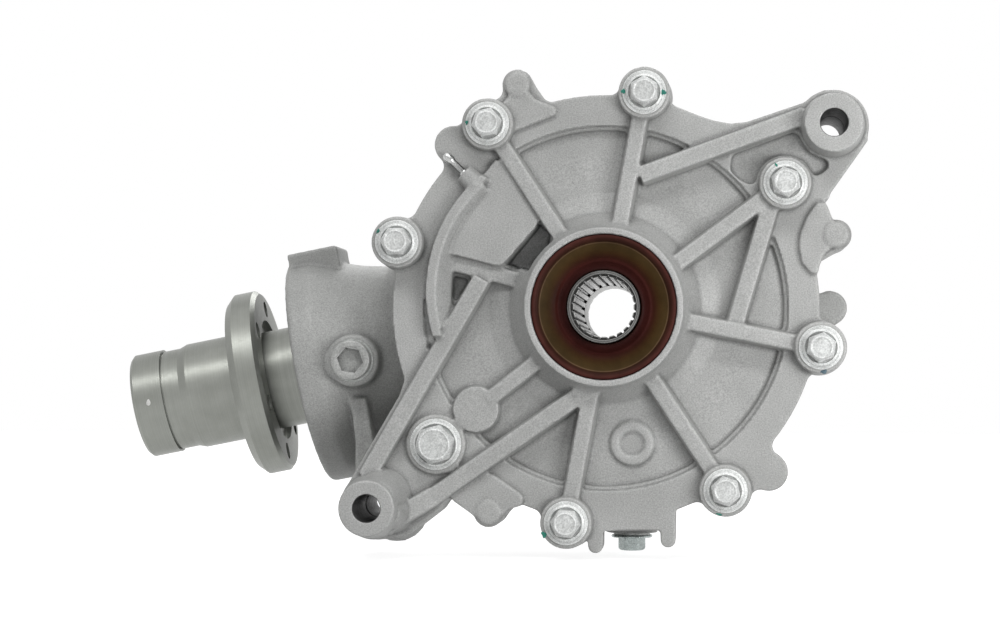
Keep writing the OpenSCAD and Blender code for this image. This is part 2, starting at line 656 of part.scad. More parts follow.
module drive_hub() {
    shoulder = front_bearing_h - fit_gap;
    rear_shoulder = rear_bearing_h + big_bearing[2] + fit_gap;
    color(steel) face_frame() difference() {
        rotate_extrude() polygon([[0, -rear_rim - 1.5], [hub_seal_r - 1, -rear_rim - 1.5],
            [hub_seal_r, -rear_rim - 0.5], [hub_seal_r, rear_bearing_h - 2],
            [big_bearing[0] - fit_gap, rear_bearing_h - 1], [big_bearing[0] - fit_gap, rear_shoulder],
            [hub_body_r - 2, rear_shoulder], [hub_body_r, rear_shoulder + 4], [hub_body_r, 32],
            [43.9, 34], [43.9, 40], [62, 40], [62, 49], [44, 49], [40, 51], [hub_body_r, 56],
            [hub_body_r, shoulder], [big_bearing[0] - fit_gap, shoulder],
            [big_bearing[0] - fit_gap, shoulder + big_bearing[2] + 1],
            [hub_seal_r, shoulder + big_bearing[2] + 2], [hub_seal_r, rim_h + 0.5],
            [hub_seal_r - 1, rim_h + 1.5], [0, rim_h + 1.5]]);
        translate([0, 0, -deep / 2]) linear_extrude(deep)
            spline_shape(spline_tip_r, spline_root_r, spline_teeth);
        // Entry counterbores and the groove that parts the spline into two rows
        translate([0, 0, rim_h - 3]) cylinder(r = spline_root_r + 0.5, h = deep);
        translate([0, 0, rim_h - 11]) tube(spline_root_r + 0.4, spline_tip_r - 1, 2);
        translate([0, 0, -deep - rear_rim + 2.5]) cylinder(r = spline_root_r + 0.5, h = deep);
        for (i = [0:9]) translate(polar(gear_bolt_circle_r, 36 * i + 18)) cylinder(r = 4.1, h = deep);
    }
}

// One tooth pitch of a bevel gear as pairs of azimuth and cone angle at the heel
function tooth_points(z, cone, x) =
    let (
        rv = module_heel * z / (2 * cos(cone)),
        zv = z / cos(cone),
        rb = rv * cos(pressure),
        tip = rv + (addendum + x) * module_heel,
        root = rv - (addendum - x + root_play) * module_heel,
        half = 180 / PI * ((PI / 2 + 2 * x * tan(pressure)) / zv - backlash / (4 * rv)) + inv_deg(pressure),
        levels = [root, rv - 0.3 * (rv - root), rv + 0.5 * (tip - rv), tip],
        flank = [for (r = levels)
            [(half - inv_deg(acos(min(1, rb / r)))) / cos(cone), cone + atan((r - rv) / cone_len)]]
    )
    concat([for (p = flank) [-p[0], p[1]]], [for (i = [3:-1:0]) [flank[i][0], flank[i][1]]]);

// Toothed sections from toe to heel, closed toward the axis by the cone angle "back", by fans where it is 0
module bevel_crown(z, cone, x, phase, twist_sign, back) {
    sections = 6;
    one = tooth_points(z, cone, x);
    loop = [for (i = [0:z - 1]) for (p = one) [p[0] + 360 / z * i + phase, p[1]]];
    m = len(loop);
    mean_r = cone_len - face_w / 2;
    radii = [for (j = [0:sections - 1]) cone_len - face_w + face_w * j / (sections - 1)];
    twist = [for (r = radii) twist_sign * 180 / PI * tan(spiral) * ln(r / mean_r) / sin(cone)];
    n = back > 0 ? sections + 2 : sections;
    pts = [for (i = [0:m - 1]) for (j = [0:n - 1])
        let (
            k = j < sections ? j : (j == sections ? sections - 1 : 0),
            a = loop[i][0] + twist[k],
            d = j < sections ? loop[i][1] : back
        )
        radii[k] * [sin(d) * cos(a), sin(d) * sin(a), cos(d)]];
    quads = [for (i = [0:m - 1]) for (j = [0:(back > 0 ? n - 1 : n - 2)])
        [i * n + j, ((i + 1) % m) * n + j, ((i + 1) % m) * n + (j + 1) % n, i * n + (j + 1) % n]];
    walls = [for (q = quads) for (t = [[q[0], q[2], q[1]], [q[0], q[3], q[2]]]) t];
    fans = back > 0 ? [] : [for (i = [0:m - 1])
        for (t = [[i * n, ((i + 1) % m) * n, m * n],
            [((i + 1) % m) * n + n - 1, i * n + n - 1, m * n + 1]]) t];
    centres = back > 0 ? [] : [[0, 0, radii[0] * cos(cone)], [0, 0, cone_len * cos(cone)]];
    polyhedron(points = concat(pts, centres), faces = concat(walls, fans));
}

module ring_gear() {
    blank_cone = ring_cone - 5.6;
    color(steel_dark) face_frame() difference() {
        union() {
            rotate_extrude($fn = 96)
                polygon([[44, 26], [50, 50 / tan(blank_cone)], [75, 75 / tan(blank_cone)], [77, 36],
                    [73, 40], [44, 40]]);
            bevel_crown(ring_teeth, ring_cone, -shift, 180 + pinion_tilt + 180 / ring_teeth, 1,
                ring_cone - 7.5);
        }
        for (i = [0:9]) translate(polar(gear_bolt_circle_r, 36 * i + 18)) translate([0, 0, 26])
            cylinder(r = 4 + fit_gap, h = 30);
        cylinder(r = 44, h = deep, center = true);
    }
}

module ring_gear_bolts() {
    color(steel_dark) face_frame() for (i = [0:9]) translate(polar(gear_bolt_circle_r, 36 * i + 18)) {
        translate([0, 0, 28]) cylinder(r = 4, h = 24);
        translate([0, 0, 49 + fit_gap]) linear_extrude(6) hexagon(12);
    }
}

module pinion_shaft() {
    color(steel_dark) pinion_frame() {
        difference() {
            union() {
                bevel_crown(pinion_teeth, pinion_cone, shift, -90, -1, 0);
                rotate_extrude() polygon([[0, 56], [7, 56], [7, 72], [17, 72], [17, 80], [22, 80],
                    [22, head_back], [20.9, inner_bearing_s - fit_gap],
                    [big_bearing[0] - fit_gap, inner_bearing_s - fit_gap],
                    [big_bearing[0] - fit_gap, spacer_s], [shaft_r - fit_gap, spacer_s],
                    [shaft_r - fit_gap, nut_seat - 2], [thread_r, nut_seat - 1], [thread_r, nut_seat + nut_t + 1],
                    [thread_r - 1, nut_seat + nut_t + 2], [0, nut_seat + nut_t + 2]]);
            }
            // External spline under the coupling, up to the nut's thread
            translate([0, 0, neck_spline_s]) difference() {
                cylinder(r = shaft_r + 1, h = nut_seat - 1 - neck_spline_s);
                translate([0, 0, -1]) linear_extrude(nut_seat + 1 - neck_spline_s)
                    spline_shape(shaft_r - 1.4, shaft_r + 0.2, 22, 0.03);
            }
        }
    }
}

module bearing_outer(b) {
    pitch_r = (b[0] + b[1]) / 2;
    rotate_extrude() difference() {
        translate([pitch_r + 0.66 * b[3], 0]) square([b[1] - pitch_r - 0.66 * b[3], b[2]]);
        translate([pitch_r, b[2] / 2]) circle(b[3] + 0.06);
    }
}

module bearing_inner(b) {
    pitch_r = (b[0] + b[1]) / 2;
    rotate_extrude() difference() {
        translate([b[0], 0]) square([pitch_r - 0.66 * b[3] - b[0], b[2]]);
        translate([pitch_r, b[2] / 2]) circle(b[3] + 0.06);
    }
}

module bearing_balls(b) {
    for (i = [0:b[4] - 1]) rotate([0, 0, 360 / b[4] * i]) translate([(b[0] + b[1]) / 2, 0, b[2] / 2])
        sphere(b[3], $fn = 32);
}

module bearing_cage(b) {
    pitch_r = (b[0] + b[1]) / 2;
    wide = 2 * b[3] + 3;
    difference() {
        translate([0, 0, (b[2] - wide) / 2]) tube(pitch_r + 1.5, pitch_r - 1.5, wide);
        for (i = [0:b[4] - 1]) rotate([0, 0, 360 / b[4] * i]) translate([pitch_r - 4, 0, b[2] / 2])
            rotate([0, 90, 0]) cylinder(r = b[3] + 0.2, h = 8);
    }
}

module at_front_bearing() { face_frame() translate([0, 0, front_bearing_h]) children(); }
module at_rear_bearing() { face_frame() translate([0, 0, rear_bearing_h]) children(); }
module at_inner_bearing() { pinion_frame() translate([0, 0, inner_bearing_s]) children(); }
module at_outer_bearing() { pinion_frame() translate([0, 0, outer_bearing_s]) children(); }

module front_bearing_outer_race() { color(steel) at_front_bearing() bearing_outer(big_bearing); }
module front_bearing_inner_race() { color(steel) at_front_bearing() bearing_inner(big_bearing); }
module front_bearing_balls() { color(zinc) at_front_bearing() bearing_balls(big_bearing); }
module front_bearing_cage() { color(brass) at_front_bearing() bearing_cage(big_bearing); }
module rear_bearing_outer_race() { color(steel) at_rear_bearing() bearing_outer(big_bearing); }
module rear_bearing_inner_race() { color(steel) at_rear_bearing() bearing_inner(big_bearing); }
module rear_bearing_balls() { color(zinc) at_rear_bearing() bearing_balls(big_bearing); }
module rear_bearing_cage() { color(brass) at_rear_bearing() bearing_cage(big_bearing); }
module pinion_inner_bearing_outer_race() { color(steel) at_inner_bearing() bearing_outer(big_bearing); }
module pinion_inner_bearing_inner_race() { color(steel) at_inner_bearing() bearing_inner(big_bearing); }
module pinion_inner_bearing_balls() { color(zinc) at_inner_bearing() bearing_balls(big_bearing); }
module pinion_inner_bearing_cage() { color(brass) at_inner_bearing() bearing_cage(big_bearing); }
module pinion_outer_bearing_outer_race() { color(steel) at_outer_bearing() bearing_outer(small_bearing); }
module pinion_outer_bearing_inner_race() { color(steel) at_outer_bearing() bearing_inner(small_bearing); }
module pinion_outer_bearing_balls() { color(zinc) at_outer_bearing() bearing_balls(small_bearing); }
module pinion_outer_bearing_cage() { color(brass) at_outer_bearing() bearing_cage(small_bearing); }

module pinion_spacer() {
    len = outer_bearing_s - spacer_s;
    bore_r = shaft_r + fit_gap;
    color(steel) pinion_frame() translate([0, 0, spacer_s])
        rotate_extrude() polygon([[bore_r, 0], [bore_r + 4, 0], [bore_r + 4, len * 0.3],
            [bore_r + 2.6, len * 0.42], [bore_r + 2.6, len * 0.58], [bore_r + 4, len * 0.7],
            [bore_r + 4, len], [bore_r, len]]);
}

module coupling_flange() {
    edge = 2;
    color(steel) pinion_frame() difference() {
        rotate_extrude($fn = 96) polygon([[0, neck_start], [20, neck_start], [neck_r, neck_start + 5],
            [neck_r, flange_s + 3], [neck_r + 6, flange_s + 3], [neck_r + 6, flange_s],
            [coupling_flange_r - edge, flange_s], [coupling_flange_r, flange_s + edge],
            [coupling_flange_r, sleeve_s - 4], [coupling_flange_r - 4, sleeve_s],
            [sleeve_r + 3, sleeve_s], [sleeve_r, sleeve_s + 3], [sleeve_r, sleeve_s + 26],
            [sleeve_r - 1.4, sleeve_s + 30], [sleeve_r - 1.4, sleeve_s + 38.2],
            [sleeve_r - 2.2, sleeve_s + 38.2], [sleeve_r - 2.2, sleeve_s + 39.2],
            [sleeve_r - 0.4, sleeve_s + 39.2], [sleeve_r - 0.4, coupling_end - 1.5],
            [sleeve_r - 1.9, coupling_end], [0, coupling_end]]);
        // Spline bore for the pinion shaft and the open socket
        translate([0, 0, neck_start - 1]) cylinder(r = shaft_r + 0.4, h = neck_spline_s - neck_start + 1);
        translate([0, 0, neck_spline_s - 1]) linear_extrude(nut_seat + 2 - neck_spline_s)
            spline_shape(shaft_r - 1.2, shaft_r + fit_gap, 22);
        translate([0, 0, nut_seat]) cylinder(r = socket_r - 1, h = deep);
        translate([0, 0, socket_s]) cylinder(r = socket_r, h = deep);
        translate([0, 0, coupling_end - 2]) cylinder(r1 = socket_r, r2 = socket_r + 2.2, h = 2.2);
        for (i = [0:5]) rotate([0, 0, 60 * i + 12]) translate([flange_hole_circle_r, 0, flange_s - 1])
            cylinder(d = flange_hole_d, h = coupling_flange_t + 2);
    }
}

module coupling_nut_washer() {
    color(steel) pinion_frame() translate([0, 0, nut_seat]) tube(18.4, thread_r + 0.3, 2);
}

module coupling_nut() {
    color(steel_dark) pinion_frame() translate([0, 0, nut_seat + 2]) difference() {
        linear_extrude(nut_t - 2) hexagon(32);
        translate([0, 0, -1]) cylinder(r = thread_r + fit_gap, h = nut_t + 2);
    }
}

main_case();
side_cover();
cover_gasket();
dowel_pins();
cover_bolts();
large_cover_bolt();
breather_nipple();
drain_plug();
drain_washer();
filler_plug();
filler_seal_ring();
front_seal_case();
front_seal_lip();
front_seal_spring();
rear_seal_case();
rear_seal_lip();
rear_seal_spring();
drive_hub();
ring_gear();
ring_gear_bolts();
front_bearing_outer_race();
front_bearing_inner_race();
front_bearing_balls();
front_bearing_cage();
rear_bearing_outer_race();
rear_bearing_inner_race();
rear_bearing_balls();
rear_bearing_cage();
pinion_shaft();
pinion_inner_bearing_outer_race();
pinion_inner_bearing_inner_race();
pinion_inner_bearing_balls();
pinion_inner_bearing_cage();
pinion_spacer();
pinion_outer_bearing_outer_race();
pinion_outer_bearing_inner_race();
pinion_outer_bearing_balls();
pinion_outer_bearing_cage();
pinion_seal_case();
pinion_seal_lip();
pinion_seal_spring();
coupling_flange();
coupling_nut();
coupling_nut_washer();
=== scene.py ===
import math

import bmesh
import bpy
from mathutils import Matrix, Vector


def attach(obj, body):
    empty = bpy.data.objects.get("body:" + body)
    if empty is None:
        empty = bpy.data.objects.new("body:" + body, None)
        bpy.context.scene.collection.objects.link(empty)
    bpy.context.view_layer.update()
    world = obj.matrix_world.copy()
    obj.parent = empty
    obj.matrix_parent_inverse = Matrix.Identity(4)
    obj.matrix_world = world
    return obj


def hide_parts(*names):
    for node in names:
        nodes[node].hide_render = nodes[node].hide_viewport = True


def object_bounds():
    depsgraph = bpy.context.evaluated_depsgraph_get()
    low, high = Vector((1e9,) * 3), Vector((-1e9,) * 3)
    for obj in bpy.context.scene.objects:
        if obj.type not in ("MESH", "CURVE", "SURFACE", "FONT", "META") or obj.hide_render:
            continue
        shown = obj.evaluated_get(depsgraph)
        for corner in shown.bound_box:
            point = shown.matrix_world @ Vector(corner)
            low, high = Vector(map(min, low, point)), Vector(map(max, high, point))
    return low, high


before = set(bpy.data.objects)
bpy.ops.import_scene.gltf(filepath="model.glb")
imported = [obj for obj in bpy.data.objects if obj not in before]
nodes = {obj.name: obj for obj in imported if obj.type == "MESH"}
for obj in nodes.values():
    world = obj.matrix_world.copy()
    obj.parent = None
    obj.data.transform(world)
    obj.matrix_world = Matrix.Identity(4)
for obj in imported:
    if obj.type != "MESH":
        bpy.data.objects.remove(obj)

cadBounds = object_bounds()
mm = 0.001

# Shared places, in millimetres, in the frame of the part: output axis along Y, cover toward -Y
layout = {
    "pinionTilt": 11.4,
    "boltFace": 88.0,
    "boltCircle": 104.7,
    "boltAngles": [34.5, 79.5, 122.5, 162.5, 260.0, 303.5, 349.5],
    "bigBoltAngle": 219.0,
    "bigBoltFace": 82.0,
    "breatherAngle": 136.2,
    "breatherHeight": 83.5,
    "drainX": 11.8,
    "drainHeight": 34.0,
    "drainEnd": 110.4,
    "fillerAt": 128.0,
    "fillerHeight": 57.0,
    "sealFace": 95.4,
    "lugs": [(109.0, 87.3), (-111.7, -95.8)],
    "lugBore": 6.7,
}
faceFrame = Matrix.Rotation(math.radians(90), 4, "X")  # drawing x, up, and height toward the viewer


def polar(radius, angle):
    a = math.radians(angle)
    return radius * math.cos(a), radius * math.sin(a)


def moved(x, y, z):
    return Matrix.Translation((x * mm, y * mm, z * mm))


# Materials: helpers that add nodes to a tree and give the last socket back

def newMaterial(name, roughness, metallic=0.0):
    mat = bpy.data.materials.new(name)
    mat.use_nodes = True
    shader = mat.node_tree.nodes["Principled BSDF"]
    shader.inputs["Roughness"].default_value = roughness
    shader.inputs["Metallic"].default_value = metallic
    return mat, mat.node_tree, shader


def objectCoords(tree):
    return tree.nodes.new("ShaderNodeTexCoord").outputs["Object"]


def noise(tree, vector, scale, detail, rough=0.6):
    node = tree.nodes.new("ShaderNodeTexNoise")
    node.inputs["Scale"].default_value = scale
    node.inputs["Detail"].default_value = detail
    node.inputs["Roughness"].default_value = rough
    tree.links.new(vector, node.inputs["Vector"])
    return node.outputs["Fac"]


def ramp(tree, value, stops):
    node = tree.nodes.new("ShaderNodeValToRGB")
    elements = node.color_ramp.elements
    while len(elements) < len(stops):
        elements.new(0.5)
    for element, (place, color) in zip(elements, stops):
        element.position = place
        element.color = (*color, 1.0)
    tree.links.new(value, node.inputs["Fac"])
    return node.outputs["Color"]


def mixColor(tree, factor, a, b, blend="MIX"):
    node = tree.nodes.new("ShaderNodeMix")
    node.data_type = "RGBA"
    node.blend_type = blend
    for name, value in (("Factor", factor), ("A", a), ("B", b)):
        wanted = "VALUE" if name == "Factor" else "RGBA"
        target = [s for s in node.inputs if s.name == name and s.type == wanted][0]
        if isinstance(value, bpy.types.NodeSocket):
            tree.links.new(value, target)
        else:
            target.default_value = value if name == "Factor" else (*value, 1.0)
    return [s for s in node.outputs if s.type == "RGBA"][0]


def multiply(tree, base, shade):
    return mixColor(tree, 1.0, base, shade, "MULTIPLY")


def greyRamp(tree, value, stops):
    return ramp(tree, value, [(place, (shade,) * 3) for place, shade in stops])


def twoTone(tree, value, low, high, dark, light):
    return mixColor(tree, greyRamp(tree, value, [(low, 0), (high, 1)]), dark, light)


def bumpChain(tree, shader, layers):
    last = None
    for height, strength, distance in layers:
        node = tree.nodes.new("ShaderNodeBump")
        node.inputs["Strength"].default_value = strength
        node.inputs["Distance"].default_value = distance
        tree.links.new(height, node.inputs["Height"])
        if last:
            tree.links.new(last, node.inputs["Normal"])
        last = node.outputs["Normal"]
    tree.links.new(last, shader.inputs["Normal"])


def rangeOf(tree, value, low, high, outLow, outHigh):
    node = tree.nodes.new("ShaderNodeMapRange")
    for socket, number in (("From Min", low), ("From Max", high), ("To Min", outLow), ("To Max", outHigh)):
        node.inputs[socket].default_value = number
    tree.links.new(value, node.inputs["Value"])
    return node.outputs["Result"]


def largest(tree, first, second):
    node = tree.nodes.new("ShaderNodeMath")
    node.operation = "MAXIMUM"
    tree.links.new(first, node.inputs[0])
    tree.links.new(second, node.inputs[1])
    return node.outputs["Value"]


# Two colours of each casting, which mix in wide clouds. The pointiness stops (pointiness and shade) paint shade
# into creases and a highlight onto edges, and each noise is its scale, detail and roughness
alloySettings = {
    "cover": {"light": (0.46, 0.463, 0.455), "dark": (0.38, 0.383, 0.375), "roughness": 0.5, "metallic": 0.1},
    "case": {"light": (0.42, 0.424, 0.414), "dark": (0.34, 0.344, 0.335), "roughness": 0.52, "metallic": 0.1},
    "creaseShadeEdgeHighlight": [(0.42, 0.25), (0.48, 0.75), (0.498, 1), (0.54, 1.14)],
    "blasted": (1500.0, 3.0, 0.7), "skin": (420.0, 4.0, 0.6), "cloud": (28.0, 5.0, 0.6),
    "speck": [(0.36, 0.74), (0.64, 1.16)],
    "grain": 0.3,
    "lugShade": 0.12,
}
shadeEdge = 0.3  # width over which a round shade fades out

# Pocket beside the seal boss: outline, radius of the boss, floor, line of the rib below it, edge and profile
# of its sloped side, and the place, heights and amount of its shade
pocketSettings = {
    "outline": [(-48.0, 20.6), (-33.4, 38.0), (-32.2, 40.4), (-30.8, 40.4), (-26, 35), (-28, 26), (-36, 14),
                (-44, 16)],
    "boss": 38.2, "floor": 72.5, "top": 87.0, "rib": (-30.0, 16.2, 0.265),
    "edge": ((-48.5, 19.8), (-31.3, 41.2)),
    "side": [(-0.8, 80.5), (0.3, 80.5), (5.9, 72.9), (6.3, 70), (-0.8, 70)],
    "centre": (-34.5, 28.0), "reach": 12.5, "shadeFrom": 78.0, "shadeTo": 74.0, "shade": 0.66,
}


def roundShade(tree, vector, place, radius, shade):
    away = tree.nodes.new("ShaderNodeVectorMath")
    away.operation = "SUBTRACT"
    away.inputs[1].default_value = (place[0] * mm, 0, place[1] * mm)
    flat = tree.nodes.new("ShaderNodeVectorMath")
    flat.operation = "MULTIPLY"
    flat.inputs[1].default_value = (1, 0, 1)
    length = tree.nodes.new("ShaderNodeVectorMath")
    length.operation = "LENGTH"
    tree.links.new(vector, away.inputs[0])
    tree.links.new(away.outputs["Vector"], flat.inputs[0])
    tree.links.new(flat.outputs["Vector"], length.inputs[0])
    return rangeOf(tree, length.outputs["Value"], radius * mm, (radius + shadeEdge) * mm, shade, 1.0)


def pocketShade(tree, vector, s):
    split = tree.nodes.new("ShaderNodeSeparateXYZ")
    tree.links.new(vector, split.inputs["Vector"])
    depth = rangeOf(tree, split.outputs["Y"], -s["shadeFrom"] * mm, -s["shadeTo"] * mm, 1.0, s["shade"])
    return largest(tree, depth, roundShade(tree, vector, s["centre"], s["reach"], s["shade"]))


def castAlloy(name, key, both=alloySettings):
    s = both[key]
    mat, tree, shader = newMaterial(name, s["roughness"], s["metallic"])
    vector = objectCoords(tree)
    blasted, skin, cloud = (noise(tree, vector, *both[kind]) for kind in ("blasted", "skin", "cloud"))
    geometry = tree.nodes.new("ShaderNodeNewGeometry")
    base = twoTone(tree, cloud, 0.35, 0.7, s["dark"], s["light"])
    base = multiply(tree, base, greyRamp(tree, blasted, both["speck"]))
    # Painted shade in creases and painted highlight on edges, from the pointiness
    base = multiply(tree, base, greyRamp(tree, geometry.outputs["Pointiness"], both["creaseShadeEdgeHighlight"]))
    for place in layout["lugs"]:
        base = multiply(tree, base, roundShade(tree, vector, place, layout["lugBore"], both["lugShade"]))
    if key == "cover":
        base = multiply(tree, base, pocketShade(tree, vector, pocketSettings))
    tree.links.new(base, shader.inputs["Base Color"])
    tree.links.new(rangeOf(tree, skin, 0.3, 0.7, s["roughness"] - 0.08, s["roughness"] + 0.1),
                   shader.inputs["Roughness"])
    bumpChain(tree, shader, [(skin, both["grain"], 0.0004), (blasted, both["grain"], 0.00025)])
    return mat


# Distance from an axis, from the two coordinates that lie across it
def axisRadius(tree, split, first, second):
    flat = tree.nodes.new("ShaderNodeCombineXYZ")
    tree.links.new(split.outputs[first], flat.inputs["X"])
    tree.links.new(split.outputs[second], flat.inputs["Y"])
    length = tree.nodes.new("ShaderNodeVectorMath")
    length.operation = "LENGTH"
    tree.links.new(flat.outputs["Vector"], length.inputs[0])
    return length.outputs["Value"]


def zoneRamp(tree, radius, zones):
    first, last = zones[0][0], zones[-1][0]
    place = rangeOf(tree, radius, first * mm, last * mm, 0.0, 1.0)
    return ramp(tree, place, [((r - first) / (last - first), color) for r, color in zones])


# Turned surface: its noise runs along the radius and the axis, so it reads as tool marks
def turnedSteel(name, light, dark, roughness, axis="pinion", zones=()):
    mat, tree, shader = newMaterial(name, roughness, 1.0)
    vector = objectCoords(tree)
    turn = tree.nodes.new("ShaderNodeMapping")
    turn.vector_type = "POINT"
    turn.inputs["Rotation"].default_value = ((0, math.radians(90 + layout["pinionTilt"]), 0) if axis == "pinion"
                                             else (math.radians(-90), 0, 0))
    tree.links.new(vector, turn.inputs["Vector"])
    split = tree.nodes.new("ShaderNodeSeparateXYZ")
    tree.links.new(turn.outputs["Vector"], split.inputs["Vector"])
    radius = axisRadius(tree, split, "X", "Y")
    profile = tree.nodes.new("ShaderNodeCombineXYZ")
    tree.links.new(radius, profile.inputs["X"])
    tree.links.new(split.outputs["Z"], profile.inputs["Y"])
    tool = noise(tree, profile.outputs["Vector"], 2600.0, 2.0)
    cloud = noise(tree, vector, 60.0, 4.0)
    fine = noise(tree, vector, 1800.0, 2.0)
    base = twoTone(tree, cloud, 0.3, 0.7, dark, light)
    base = multiply(tree, base, greyRamp(tree, tool, [(0.3, 0.9), (0.7, 1.06)]))
    # Rings by radius of painted shade and painted highlight
    if zones:
        base = multiply(tree, base, zoneRamp(tree, radius, [(r, (shade,) * 3) for r, shade in zones]))
    tree.links.new(base, shader.inputs["Base Color"])
    tree.links.new(rangeOf(tree, fine, 0.3, 0.7, roughness - 0.05, roughness + 0.08), shader.inputs["Roughness"])
    bumpChain(tree, shader, [(tool, 0.16, 0.0001), (fine, 0.1, 0.0001)])
    return mat


def platedSteel(name, light, dark, roughness, grain=0.25, metallic=0.75, edges=1.0):
    mat, tree, shader = newMaterial(name, roughness, metallic)
    vector = objectCoords(tree)
    geometry = tree.nodes.new("ShaderNodeNewGeometry")
    # Painted shade in creases and painted highlight on edges, from the pointiness, scaled by edges
    creaseShadeEdgeHighlight = [(0.42, 1 - 0.5 * edges), (0.49, 1), (0.51, 1), (0.58, 1 + 0.4 * edges)]
    cloud = noise(tree, vector, 160.0, 5.0, 0.65)
    fine = noise(tree, vector, 1400.0, 3.0)
    base = twoTone(tree, cloud, 0.3, 0.65, dark, light)
    base = multiply(tree, base, greyRamp(tree, fine, [(0.32, 0.7), (0.66, 1.16)]))
    base = multiply(tree, base, greyRamp(tree, geometry.outputs["Pointiness"], creaseShadeEdgeHighlight))
    tree.links.new(base, shader.inputs["Base Color"])
    tree.links.new(rangeOf(tree, cloud, 0.3, 0.7, roughness - 0.08, roughness + 0.12), shader.inputs["Roughness"])
    bumpChain(tree, shader, [(cloud, grain, 0.0002), (fine, grain * 0.6, 0.0001)])
    return mat


def softMaterial(name, light, dark, roughness):
    mat, tree, shader = newMaterial(name, roughness)
    vector = objectCoords(tree)
    cloud = noise(tree, vector, 90.0, 4.0)
    fine = noise(tree, vector, 900.0, 3.0)
    tree.links.new(twoTone(tree, cloud, 0.35, 0.65, dark, light), shader.inputs["Base Color"])
    tree.links.new(rangeOf(tree, fine, 0.3, 0.7, roughness - 0.06, roughness + 0.08), shader.inputs["Roughness"])
    bumpChain(tree, shader, [(fine, 0.2, 0.0001)])
    return mat


# Radius on the output axis and colour of the seal; the thin light ring at 30.75 is a painted highlight on an edge
sealZones = [
    (17.0, (0.022, 0.008, 0.006)), (19.5, (0.034, 0.008, 0.007)), (22.6, (0.040, 0.009, 0.007)),
    (24.2, (0.036, 0.011, 0.006)), (26.0, (0.043, 0.020, 0.007)), (28.0, (0.050, 0.029, 0.010)),
    (30.3, (0.056, 0.034, 0.013)), (30.75, (0.130, 0.080, 0.045)), (31.1, (0.050, 0.024, 0.012)),
    (31.6, (0.030, 0.010, 0.006)), (33.0, (0.064, 0.022, 0.017)), (34.0, (0.070, 0.022, 0.018)),
    (34.6, (0.030, 0.008, 0.007)),
]


def sealCoat(name):
    mat, tree, shader = newMaterial(name, 0.42)
    shader.inputs["Specular IOR Level"].default_value = 0.04
    vector = objectCoords(tree)
    split = tree.nodes.new("ShaderNodeSeparateXYZ")
    tree.links.new(vector, split.inputs["Vector"])
    # Colour by radius, with one thin ring of painted highlight
    base = zoneRamp(tree, axisRadius(tree, split, "X", "Z"), sealZones)
    cloud = noise(tree, vector, 90.0, 4.0)
    fine = noise(tree, vector, 1100.0, 3.0)
    shade = greyRamp(tree, cloud, [(0.3, 0.75), (0.7, 1.2)])
    tree.links.new(multiply(tree, base, shade), shader.inputs["Base Color"])
    tree.links.new(rangeOf(tree, fine, 0.3, 0.7, 0.34, 0.5), shader.inputs["Roughness"])
    bumpChain(tree, shader, [(fine, 0.15, 0.0001)])
    return mat


# Radius on the output axis and shade of the hub: bright tooth lands, painted shade in the dark slots, ring with thin
# painted highlights on its edges
hubShadeHighlightZones = [(14.0, 1.0), (14.5, 1.0), (14.7, 0.1), (15.6, 0.06), (15.8, 0.25), (15.95, 0.9), (16.1, 0.35),
            (16.7, 0.3), (16.85, 0.85), (17.1, 0.3), (17.6, 0.4), (18.5, 0.8)]

materials = {
    "cover": castAlloy("coverAlloy", "cover"),
    "case": castAlloy("caseAlloy", "case"),
    "turned": turnedSteel("turnedSteel", (0.26, 0.268, 0.248), (0.22, 0.227, 0.208), 0.38),
    "hub": turnedSteel("hubSteel", (0.44, 0.44, 0.43), (0.34, 0.34, 0.33), 0.3, "output", hubShadeHighlightZones),
    "bore": turnedSteel("boreSteel", (0.30, 0.30, 0.29), (0.24, 0.24, 0.23), 0.35, "output"),
    # Lit and shaded copies of the bolts' zinc: painted highlight on the head tops, painted shade on flanges and sides
    "zinc": platedSteel("zincPlate", (0.78, 0.795, 0.785), (0.56, 0.572, 0.562), 0.36, 0.6, 0.1, 1.4),
    "zincShadedSide": platedSteel("zincShadedSide", (0.50, 0.512, 0.504), (0.34, 0.35, 0.343), 0.34, 0.6, 0.2, 1.6),
    "bright": platedSteel("brightPlate", (0.5, 0.505, 0.5), (0.36, 0.365, 0.36), 0.18, 0.1, 0.95),
    "plug": platedSteel("plugPlate", (0.42, 0.465, 0.455), (0.26, 0.29, 0.285), 0.24, 0.3, 0.8),
    "filler": platedSteel("fillerPlate", (0.41, 0.415, 0.404), (0.31, 0.315, 0.306), 0.45, 0.3, 0.2),
    "washer": platedSteel("washerAlloy", (0.40, 0.41, 0.40), (0.30, 0.31, 0.30), 0.45, 0.2, 0.5),
    "gear": platedSteel("gearSteel", (0.40, 0.41, 0.42), (0.28, 0.29, 0.30), 0.28),
    "race": platedSteel("raceSteel", (0.68, 0.69, 0.70), (0.56, 0.57, 0.58), 0.16, 0.05),
    "brass": platedSteel("cageBrass", (0.66, 0.50, 0.24), (0.50, 0.37, 0.17), 0.35),
    "sealRed": softMaterial("sealRed", (0.075, 0.016, 0.013), (0.05, 0.010, 0.009), 0.36),
    "sealBrown": softMaterial("sealBrown", (0.10, 0.065, 0.028), (0.06, 0.038, 0.018), 0.5),
    "sealCone": sealCoat("sealCone"),
    "black": softMaterial("blackRubber", (0.03, 0.03, 0.03), (0.018, 0.018, 0.018), 0.5),
    "gasket": softMaterial("gasketGrey", (0.05, 0.055, 0.06), (0.03, 0.033, 0.036), 0.6),
    "teal": softMaterial("paintTeal", (0.02, 0.25, 0.18), (0.01, 0.16, 0.12), 0.4),
    "blue": softMaterial("paintBlue", (0.10, 0.17, 0.21), (0.07, 0.12, 0.16), 0.4),
    "white": softMaterial("paintWhite", (0.8, 0.8, 0.78), (0.7, 0.7, 0.68), 0.5),
}

